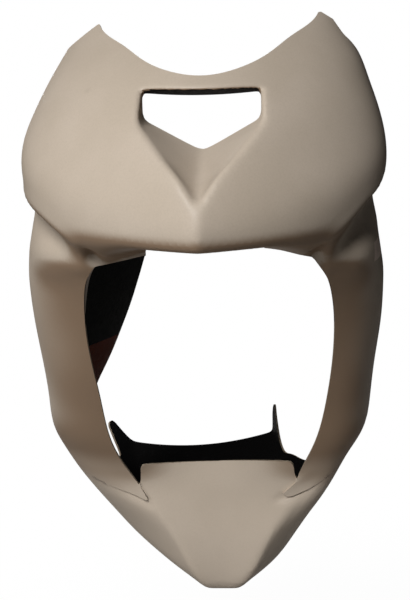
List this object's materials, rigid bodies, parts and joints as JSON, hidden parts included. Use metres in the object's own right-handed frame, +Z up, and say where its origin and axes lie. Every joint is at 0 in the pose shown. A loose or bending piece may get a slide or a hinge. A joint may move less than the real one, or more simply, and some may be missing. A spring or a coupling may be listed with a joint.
{
  "type": "motorcycle fairing",
  "caption": "One-piece glass-fibre sport motorcycle fairing shell: nose cowl with a keyed air intake, two legs beside the wheel opening, and a belly pan.",
  "frame": {"origin": "centre of the air intake's rear mouth in the nose, where the intake duct plugs in", "axes": "+Z up, -Y forward out of the nose, +X to the left of a rider (to the right as seen from the front)"},
  "size_m": [0.5051, 0.7846, 0.8583],
  "materials": {
    "gelcoat": "bare taupe gelcoat, satin to matte"
  },
  "bodies": {
    "root": {"fairing_shell": "gelcoat"}
  },
  "joints": []
}
